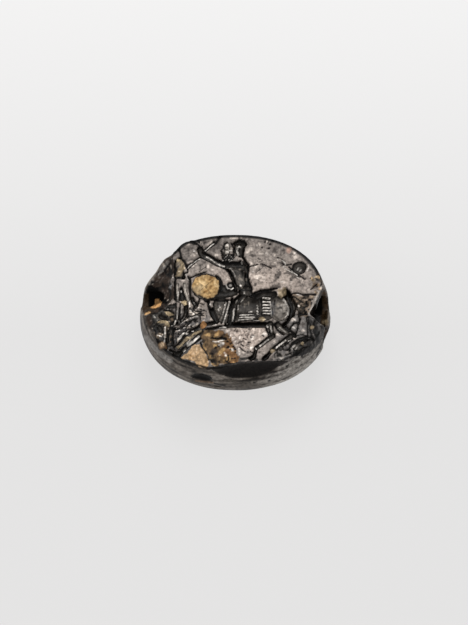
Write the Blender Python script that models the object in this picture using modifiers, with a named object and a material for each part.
"""A scaraboid seal: an oval dark stone with a domed back, a flat engraved face and a string hole along it.

Metres, +Z up. The stone lies on its back with the engraved face up, and both ends are broken open over the
hole. The origin is at the middle of the bottom of the stone's box, +X runs along the hole and +Y to the top
of the picture.
"""

import math

import bmesh
import bpy
from mathutils import Matrix, Vector, noise

MM = 0.001

# The stone
FACE_LENGTH = 19.2 * MM
FACE_WIDTH = 15.65 * MM
THICKNESS = 8.4 * MM
OVAL_POWER = 2.2
RIM_WEAR = 0.12 * MM
GIRTH_OVERHANG = 0.65 * MM
GIRTH_DEPTH = 3.6 * MM
REST_SPOT_SHARE = 0.22
OVAL_STEPS = 88
WALL_RINGS = 3
DOME_RINGS = 9

# The string hole
HOLE_RADIUS = 1.05 * MM
HOLE_DEPTH = 2.9 * MM
HOLE_OFFSET = 1.2 * MM
HOLE_SKEW = math.radians(-1.7)
HOLE_STEPS = 24

# The saddle cloth's repeated marks: how many, and their pitch as a share of the face's half width
CLOTH_TOOTH_COUNT = 7
CLOTH_TOOTH_SHARE = 0.043
CLOTH_FOLD_COUNT = 3
CLOTH_FOLD_SHARE = 0.042
STRAP_COUNT = 3
STRAP_SHARE = 0.055

STONE_COLOUR = (0.075, 0.070, 0.068, 1.0)
STONE_ROUGHNESS = 0.38

# The skin of the carved stone: the size of its grain, what counts as flat, and how many triangles carry it
GRAIN = 0.13 * MM
FLAT_REACH = 0.03 * MM
TRIANGLES = 9600

# The middle of each cut is this far above the face, so that its widest ring never lies in the face
CUT_LIFT = 0.01 * MM


def clear_scene():
    for thing in list(bpy.data.objects):
        bpy.data.objects.remove(thing)


def new_collection(name):
    made = bpy.data.collections.new(name)
    bpy.context.scene.collection.children.link(made)
    return made


def new_object(name, bm, collection):
    """An object in a collection from a bmesh, which it frees."""
    mesh = bpy.data.meshes.new(name)
    bm.to_mesh(mesh)
    bm.free()
    made = bpy.data.objects.new(name, mesh)
    collection.objects.link(made)
    return made


def mark_as_cutter(cutter):
    cutter.hide_render = True
    cutter.display_type = "WIRE"


def stone_material():
    material = bpy.data.materials.new("dark_stone")
    material.use_nodes = True
    shader = material.node_tree.nodes["Principled BSDF"]
    shader.inputs["Base Color"].default_value = STONE_COLOUR
    shader.inputs["Roughness"].default_value = STONE_ROUGHNESS
    shader.inputs["Metallic"].default_value = 0.0
    return material


def face_radius(angle):
    """From the middle of the face to its rim, in this direction."""
    along = abs(math.cos(angle)) / (FACE_LENGTH / 2)
    across = abs(math.sin(angle)) / (FACE_WIDTH / 2)
    return (along**OVAL_POWER + across**OVAL_POWER) ** (-1 / OVAL_POWER)


def stone_profile():
    """(share of the oval, distance past the rim, height) down the outside, from the face's rim to the rest spot."""
    points = [(1.0, -RIM_WEAR, THICKNESS)]
    for ring in range(WALL_RINGS):
        turn = math.pi / 2 * ring / WALL_RINGS
        drop = RIM_WEAR + (GIRTH_DEPTH - RIM_WEAR) * ring / WALL_RINGS
        points.append((1.0, GIRTH_OVERHANG * math.sin(turn), THICKNESS - drop))
    girth_height = THICKNESS - GIRTH_DEPTH
    last_turn = math.acos(REST_SPOT_SHARE)
    for ring in range(DOME_RINGS + 1):
        turn = last_turn * ring / DOME_RINGS
        height = girth_height * (1 - math.sin(turn) / math.sin(last_turn))
        points.append((math.cos(turn), GIRTH_OVERHANG, height))
    return points


def turned_blank(collection):
    """The uncut stone: its profile turned round with a Screw, capped, and drawn out from a circle to an oval."""
    profile = stone_profile()
    bm = bmesh.new()
    corners = [bm.verts.new((index + 1.0, 0, 0)) for index in range(len(profile))]
    for upper, lower in zip(corners, corners[1:]):
        bm.edges.new((upper, lower))
    mesh = bpy.data.meshes.new("stone_profile")
    bm.to_mesh(mesh)
    bm.free()
    guide = bpy.data.objects.new("stone_profile", mesh)
    collection.objects.link(guide)
    screw = guide.modifiers.new("turn", "SCREW")
    screw.steps = OVAL_STEPS
    screw.render_steps = OVAL_STEPS
    screw.use_merge_vertices = True
    screw.merge_threshold = 0.0001
    bpy.context.view_layer.update()
    turned = guide.evaluated_get(bpy.context.evaluated_depsgraph_get())
    bm = bmesh.new()
    bm.from_mesh(turned.to_mesh())
    bpy.data.objects.remove(guide)
    bmesh.ops.holes_fill(bm, edges=[edge for edge in bm.edges if edge.is_boundary])
    bmesh.ops.recalc_face_normals(bm, faces=bm.faces)
    for vert in bm.verts:
        share, past_rim, height = profile[round(vert.co.xy.length) - 1]
        angle = math.atan2(vert.co.y, vert.co.x)
        reach = share * (face_radius(angle) + past_rim)
        vert.co = (reach * math.cos(angle), reach * math.sin(angle), height)
    return bm


def on_face(across, up):
    """A point of the face, given as shares of its half length and half width."""
    return Vector((across * FACE_LENGTH / 2, up * FACE_WIDTH / 2, THICKNESS + CUT_LIFT))


def wheel_cut(name, start, end, width, depth, collection, steps=12):
    """The cut that an engraver's round wheel leaves from start to end: half an ellipsoid, sunk in the face.

    The ends are shares of the half face, width and depth are shares of its half width.
    """
    half_width = FACE_WIDTH / 2
    first, last = on_face(*start), on_face(*end)
    run = last - first
    half_length = run.length / 2 + width * half_width / 2
    bm = bmesh.new()
    bmesh.ops.create_uvsphere(bm, u_segments=steps, v_segments=2 * (steps // 4) + 1, radius=1.0)
    size = Matrix.Diagonal((half_length, width * half_width / 2, depth * half_width, 1.0))
    turn = Matrix.Rotation(math.atan2(run.y, run.x), 4, "Z")
    bm.transform(Matrix.Translation((first + last) / 2) @ turn @ size)
    mark_as_cutter(new_object("cut_" + name, bm, collection))


def cut_chain(name, joints, width, depth, collection, steps=12):
    """A bent limb or line: one cut for each pair of neighbouring joints."""
    for number, (start, end) in enumerate(zip(joints, joints[1:])):
        wheel_cut(f"{name}_{number}", start, end, width, depth, collection, steps)


def cut_rider(cuts):
    """The horseman, leaning forward with a spear in the raised hand."""
    shoulder, elbow, wrist = (0.04, 0.565), (-0.16, 0.575), (-0.35, 0.705)
    wheel_cut("rider_arm", shoulder, elbow, 0.09, 0.065, cuts)
    wheel_cut("rider_forearm", elbow, wrist, 0.075, 0.055, cuts)
    wheel_cut("rider_fist", (-0.385, 0.745), (-0.385, 0.815), 0.085, 0.06, cuts)
    wheel_cut("spear", (-0.18, 0.98), (-0.53, 0.50), 0.032, 0.03, cuts, 8)
    wheel_cut("rider_cap", (0.065, 0.865), (0.05, 0.735), 0.125, 0.085, cuts)
    wheel_cut("rider_cap_peak", (0.07, 0.885), (0.10, 0.865), 0.06, 0.07, cuts, 8)
    wheel_cut("rider_face", (-0.025, 0.83), (-0.035, 0.74), 0.13, 0.055, cuts)
    wheel_cut("rider_nose", (-0.09, 0.80), (-0.105, 0.775), 0.035, 0.03, cuts, 8)
    wheel_cut("rider_beard", (-0.06, 0.70), (-0.12, 0.665), 0.06, 0.04, cuts, 8)
    wheel_cut("rider_neck", (0.05, 0.72), (0.06, 0.60), 0.085, 0.07, cuts)
    wheel_cut("rider_chest", (0.0, 0.53), (0.06, 0.43), 0.19, 0.085, cuts)
    wheel_cut("rider_waist", (0.05, 0.46), (0.08, 0.24), 0.16, 0.09, cuts)
    cut_chain("rider_back", [(0.09, 0.66), (0.135, 0.55), (0.13, 0.43), (0.145, 0.28)], 0.04, 0.075, cuts, 8)
    wheel_cut("rider_seat", (0.05, 0.19), (0.145, 0.18), 0.13, 0.09, cuts)
    wheel_cut("rider_thigh", (0.10, 0.14), (0.0, 0.0), 0.13, 0.115, cuts)
    wheel_cut("rider_shin", (-0.015, 0.03), (-0.05, -0.27), 0.09, 0.135, cuts)
    wheel_cut("rider_hem", (0.035, 0.02), (0.01, -0.22), 0.04, 0.13, cuts, 8)
    wheel_cut("rider_foot", (-0.05, -0.28), (-0.115, -0.32), 0.055, 0.09, cuts, 8)


def cut_horse(cuts):
    """The galloping horse, with its cloth, tail and legs."""
    wheel_cut("horse_barrel", (0.06, -0.11), (0.34, -0.09), 0.46, 0.105, cuts, 20)
    wheel_cut("horse_rump", (0.49, 0.0), (0.50, -0.17), 0.30, 0.12, cuts, 16)
    wheel_cut("horse_chest", (-0.19, -0.02), (-0.13, -0.22), 0.21, 0.105, cuts, 16)
    wheel_cut("horse_neck", (-0.14, 0.02), (-0.20, 0.16), 0.16, 0.07, cuts)
    wheel_cut("horse_head", (-0.40, 0.24), (-0.27, 0.22), 0.34, 0.035, cuts, 20)
    wheel_cut("horse_muzzle", (-0.455, 0.05), (-0.435, -0.02), 0.065, 0.05, cuts, 8)
    wheel_cut("horse_belly", (-0.02, -0.335), (0.36, -0.305), 0.10, 0.085, cuts, 16)
    cut_chain("horse_back", [(0.20, 0.12), (0.28, 0.175), (0.44, 0.20)], 0.05, 0.06, cuts, 8)
    tail = [(0.575, 0.11), (0.625, 0.03), (0.655, -0.09), (0.63, -0.20), (0.57, -0.29)]
    cut_chain("horse_tail", tail, 0.085, 0.085, cuts)
    wheel_cut("bridle_ring", (-0.06, 0.255), (-0.055, 0.245), 0.085, 0.03, cuts, 8)
    cut_chain("foreleg_near", [(-0.11, -0.35), (-0.25, -0.37), (-0.33, -0.43)], 0.055, 0.05, cuts, 8)
    cut_chain("foreleg_far", [(-0.06, -0.38), (-0.14, -0.44), (-0.22, -0.53)], 0.05, 0.045, cuts, 8)
    cut_hind_leg("near", [(0.40, -0.28), (0.41, -0.46), (0.245, -0.65), (0.215, -0.78)], cuts)
    cut_hind_leg("far", [(0.50, -0.28), (0.61, -0.48), (0.41, -0.68), (0.365, -0.79)], cuts)


def cut_hind_leg(name, joints, cuts):
    """A hind leg from the stifle down: thigh, hock, cannon, fetlock, pastern and hoof."""
    stifle, hock, fetlock, hoof = joints
    wheel_cut(f"{name}_thigh", stifle, hock, 0.10, 0.075, cuts)
    wheel_cut(f"{name}_hock", hock, (hock[0] + 0.01, hock[1] - 0.02), 0.075, 0.06, cuts, 8)
    wheel_cut(f"{name}_cannon", (hock[0] - 0.02, hock[1] - 0.05), fetlock, 0.05, 0.05, cuts, 8)
    wheel_cut(f"{name}_fetlock", fetlock, (fetlock[0] - 0.01, fetlock[1] - 0.03), 0.06, 0.055, cuts, 8)
    wheel_cut(f"{name}_pastern", fetlock, hoof, 0.045, 0.045, cuts, 8)
    wheel_cut(f"{name}_hoof", hoof, (hoof[0] - 0.015, hoof[1] - 0.04), 0.075, 0.05, cuts, 8)


def cut_saddle_cloth(cuts):
    """The cloth's stepped edge, its lower folds and the straps hanging over the horse's chest."""
    for tooth in range(CLOTH_TOOTH_COUNT):
        up = 0.095 - CLOTH_TOOTH_SHARE * tooth
        wheel_cut(f"cloth_tooth_{tooth}", (0.30, up), (0.365, up - 0.01), 0.026, 0.125, cuts, 8)
    wheel_cut("cloth_edge", (0.275, 0.0), (0.28, -0.17), 0.03, 0.12, cuts, 8)
    for fold in range(CLOTH_FOLD_COUNT):
        up = -0.15 - CLOTH_FOLD_SHARE * fold
        wheel_cut(f"cloth_fold_{fold}", (0.07, up), (0.22, up + 0.005), 0.026, 0.125, cuts, 8)
    for strap in range(STRAP_COUNT):
        shift = STRAP_SHARE * strap
        wheel_cut(f"strap_{strap}", (-0.07 - shift, 0.02), (-0.125 - shift, -0.24), 0.028, 0.125, cuts, 8)


def cut_foot_soldier(cuts):
    """The standing man whom the spear reaches, with his feet apart."""
    wheel_cut("man_head", (-0.625, 0.655), (-0.62, 0.635), 0.085, 0.04, cuts, 8)
    wheel_cut("man_body", (-0.635, 0.56), (-0.615, 0.42), 0.14, 0.05, cuts)
    wheel_cut("man_belt", (-0.65, 0.36), (-0.58, 0.365), 0.035, 0.05, cuts, 8)
    wheel_cut("man_arm", (-0.59, 0.42), (-0.53, 0.475), 0.05, 0.045, cuts, 8)
    wheel_cut("man_shield_arm", (-0.56, 0.40), (-0.47, 0.345), 0.045, 0.04, cuts, 8)
    cut_chain("man_near_leg", [(-0.645, 0.31), (-0.645, 0.10), (-0.67, -0.02)], 0.075, 0.045, cuts, 8)
    cut_chain("man_far_leg", [(-0.575, 0.30), (-0.535, 0.12), (-0.51, -0.05)], 0.07, 0.045, cuts, 8)
    wheel_cut("man_knee", (-0.565, 0.01), (-0.56, 0.0), 0.08, 0.035, cuts, 8)
    wheel_cut("man_scabbard", (-0.62, -0.03), (-0.625, -0.20), 0.035, 0.04, cuts, 8)
    cut_chain("man_cloak", [(-0.545, -0.08), (-0.56, -0.20), (-0.64, -0.33)], 0.065, 0.06, cuts, 8)


def cut_fallen_man(cuts):
    """The man lying under the horse: head at the left, legs stretched up to the right."""
    wheel_cut("fallen_head", (-0.76, -0.15), (-0.71, -0.175), 0.10, 0.05, cuts)
    wheel_cut("fallen_neck", (-0.70, -0.20), (-0.70, -0.27), 0.055, 0.06, cuts, 8)
    wheel_cut("fallen_chest", (-0.84, -0.28), (-0.76, -0.31), 0.12, 0.05, cuts)
    wheel_cut("fallen_body", (-0.745, -0.36), (-0.745, -0.60), 0.075, 0.06, cuts)
    wheel_cut("fallen_hand", (-0.80, -0.65), (-0.795, -0.655), 0.09, 0.035, cuts, 8)
    wheel_cut("fallen_thigh", (-0.50, -0.455), (-0.65, -0.67), 0.10, 0.055, cuts)
    wheel_cut("fallen_shin", (-0.345, -0.335), (-0.58, -0.50), 0.06, 0.06, cuts, 8)
    wheel_cut("fallen_foot", (-0.355, -0.335), (-0.35, -0.33), 0.10, 0.05, cuts, 8)
    wheel_cut("fallen_far_leg", (-0.36, -0.50), (-0.53, -0.67), 0.065, 0.08, cuts, 8)
    wheel_cut("fallen_far_foot", (-0.60, -0.76), (-0.66, -0.78), 0.07, 0.05, cuts, 8)


def cut_field_signs(cuts):
    """What fills the field: the round cup with its two trails, a cone, a small creature and a plant."""
    wheel_cut("cup", (0.713, 0.515), (0.717, 0.515), 0.19, 0.05, cuts, 16)
    cut_chain("cup_trail", [(0.52, 0.565), (0.61, 0.46), (0.73, 0.335)], 0.028, 0.022, cuts, 8)
    cut_chain("cup_second_trail", [(0.54, 0.56), (0.61, 0.49), (0.77, 0.355)], 0.028, 0.022, cuts, 8)
    wheel_cut("cone_left", (0.745, -0.22), (0.685, -0.46), 0.03, 0.028, cuts, 8)
    wheel_cut("cone_right", (0.785, -0.22), (0.80, -0.47), 0.03, 0.028, cuts, 8)
    wheel_cut("bud", (0.64, -0.37), (0.68, -0.35), 0.07, 0.03, cuts, 8)
    wheel_cut("creature_body", (0.635, -0.655), (0.655, -0.74), 0.12, 0.045, cuts)
    wheel_cut("creature_wing", (0.74, -0.60), (0.84, -0.575), 0.13, 0.06, cuts)
    cut_chain("creature_back", [(0.60, -0.68), (0.645, -0.60), (0.76, -0.54)], 0.03, 0.04, cuts, 8)
    wheel_cut("plant", (0.52, -0.66), (0.56, -0.70), 0.06, 0.03, cuts, 8)


def broken_lump(name, place, size, turn, roughness, seed, collection, detail=3):
    """A rough ball that takes a broken piece off the stone. Its surface swells and dips by the roughness.

    place is the shares of the half face along and across, and the height above the face as a share of the
    thickness. size is the ball's half sizes, in shares of the same three.
    """
    scale = Vector((FACE_LENGTH / 2, FACE_WIDTH / 2, THICKNESS))
    bm = bmesh.new()
    bmesh.ops.create_icosphere(bm, subdivisions=detail, radius=1.0)
    for vert in bm.verts:
        broad = noise.noise(vert.co * 1.7 + Vector((seed, 0, 0)))
        fine = noise.noise(vert.co * 4.1 - Vector((0, seed, 0)))
        vert.co *= 1 + roughness * (broad + 0.5 * fine)
    middle = Vector(place) * scale + Vector((0, 0, THICKNESS))
    spread = Matrix.Diagonal((*(Vector(size) * scale), 1.0))
    bm.transform(Matrix.Translation(middle) @ Matrix.Rotation(turn, 4, "Z") @ spread)
    mark_as_cutter(new_object("break_" + name, bm, collection))


def broken_corner(name, mouth, floor, depth, roughness, seed, collection, splits=4):
    """A steep-sided break, narrowing from its mouth in the face to its floor. Its sides swell and dip.

    mouth and floor are outlines in shares of the half face, and depth is a share of the thickness.
    """
    bm = bmesh.new()
    for outline, height in ((mouth, THICKNESS * 1.04), (floor, THICKNESS * (1 - depth))):
        for across, up in outline:
            bm.verts.new((across * FACE_LENGTH / 2, up * FACE_WIDTH / 2, height))
    hull = bmesh.ops.convex_hull(bm, input=bm.verts)
    inner = [thing for thing in hull["geom_interior"] if isinstance(thing, bmesh.types.BMVert)]
    bmesh.ops.delete(bm, geom=inner, context="VERTS")
    bmesh.ops.subdivide_edges(bm, edges=bm.edges[:], cuts=splits, use_grid_fill=True)
    bmesh.ops.triangulate(bm, faces=bm.faces[:])
    bm.normal_update()
    shifts = [roughness * THICKNESS * noise.noise(vert.co / (THICKNESS / 7) + Vector((seed, 0, 0)))
              for vert in bm.verts]
    for vert, shift in zip(bm.verts, shifts):
        vert.co += vert.normal * shift
    bmesh.ops.recalc_face_normals(bm, faces=bm.faces[:])
    mark_as_cutter(new_object("break_" + name, bm, collection))


def cut_breaks(cuts):
    """Where pieces have split off: both ends over the hole, the front of the rim and flakes on the wall."""
    hole = HOLE_OFFSET / (FACE_WIDTH / 2)
    depth = HOLE_DEPTH / THICKNESS
    broken_lump("left_top", (-1.10, 0.54, 0.06), (0.44, 0.48, 0.31), 0.1, 0.08, 3.1, cuts)
    broken_lump("left_mouth", (-1.10, hole + 0.02, 0.06), (0.435, 0.40, 1.07 * depth), 0.0, 0.08, 6.4, cuts)
    broken_lump("left_lip", (-1.05, hole - 0.42, 0.07), (0.156, 0.41, 0.20), 0.15, 0.12, 7.7, cuts, 2)
    notch = ((1.10, hole + 0.32), (0.975, hole + 0.085), (0.82, hole - 0.335), (0.90, hole - 0.405),
             (1.10, hole - 0.60))
    notch_floor = ((0.985, hole), (0.955, hole + 0.03), (0.85, hole - 0.27), (0.90, hole - 0.34),
                   (0.985, hole - 0.38))
    broken_corner("right_mouth", notch, notch_floor, 0.96 * depth, 0.02, 5.2, cuts)
    broken_lump("right_corner", (0.93, -0.40, 0.055), (0.15, 0.22, 0.115), 0.25, 0.12, 9.4, cuts, 2)
    broken_lump("right_exit", (1.06, hole, -0.20), (0.08, 0.17, 0.14), 0.0, 0.08, 3.6, cuts)
    broken_lump("right_wall", (1.12, -0.36, -0.38), (0.19, 0.18, 0.27), -0.3, 0.08, 4.4, cuts)
    broken_lump("right_chip", (1.01, -0.60, -0.44), (0.05, 0.12, 0.045), -0.5, 0.15, 8.8, cuts, 2)
    broken_lump("front_rim", (0.17, -1.325, 0.063), (1.02, 0.43, 0.38), 0.12, 0.0, 0.0, cuts, 4)
    broken_lump("front_flake", (-0.385, -1.055, -0.25), (0.15, 0.10, 0.12), -0.12, 0.05, 1.3, cuts)
    broken_lump("low_chip", (-0.45, -1.02, -0.62), (0.15, 0.085, 0.06), -0.2, 0.15, 2.7, cuts, 2)
    broken_lump("low_slot", (-0.20, -1.075, -0.42), (0.09, 0.05, 0.03), -0.1, 0.15, 6.9, cuts, 2)


def cut_string_hole(cuts):
    """The hole drilled along the stone, a little askew and nearer to the top of the picture."""
    bm = bmesh.new()
    length = FACE_LENGTH + 2 * GIRTH_OVERHANG + 6 * HOLE_RADIUS
    bmesh.ops.create_cone(
        bm, cap_ends=True, segments=HOLE_STEPS, radius1=HOLE_RADIUS, radius2=HOLE_RADIUS, depth=length
    )
    lie_down = Matrix.Rotation(math.pi / 2, 4, "Y")
    askew = Matrix.Rotation(HOLE_SKEW, 4, "Z")
    place = Matrix.Translation((0, HOLE_OFFSET, THICKNESS - HOLE_DEPTH))
    bm.transform(place @ askew @ lie_down)
    mark_as_cutter(new_object("string_hole", bm, cuts))


def soften_and_thin(stone):
    """The carved stone as one worn skin of even grain, with its two flats made true and its faces thinned."""
    wear = stone.modifiers.new("wear", "REMESH")
    wear.mode = "VOXEL"
    wear.voxel_size = GRAIN
    bpy.context.view_layer.update()
    worn = stone.evaluated_get(bpy.context.evaluated_depsgraph_get())
    bm = bmesh.new()
    bm.from_mesh(worn.to_mesh())
    worn.to_mesh_clear()
    for vert in bm.verts:
        if abs(vert.co.z - THICKNESS) < FLAT_REACH:
            vert.co.z = THICKNESS
        if vert.co.z < FLAT_REACH:
            vert.co.z = 0.0
    stone.modifiers.clear()
    bm.to_mesh(stone.data)
    quads = len(bm.faces)
    bm.free()
    thin = stone.modifiers.new("thin", "DECIMATE")
    thin.ratio = min(1.0, TRIANGLES / (2 * quads))
    thin.use_collapse_triangulate = True


def main():
    clear_scene()
    seal_parts = new_collection("scaraboid_seal")
    cuts = new_collection("cutters")
    stone = new_object("scaraboid_seal", turned_blank(cuts), seal_parts)
    stone.data.materials.append(stone_material())
    stone.data.shade_smooth()
    stone.data.set_sharp_from_angle(angle=math.radians(35))
    cut_rider(cuts)
    cut_horse(cuts)
    cut_saddle_cloth(cuts)
    cut_foot_soldier(cuts)
    cut_fallen_man(cuts)
    cut_field_signs(cuts)
    cut_breaks(cuts)
    cut_string_hole(cuts)
    engraving = stone.modifiers.new("engraving", "BOOLEAN")
    engraving.operation = "DIFFERENCE"
    engraving.solver = "EXACT"
    engraving.operand_type = "COLLECTION"
    engraving.collection = cuts
    bpy.context.view_layer.update()
    soften_and_thin(stone)


main()
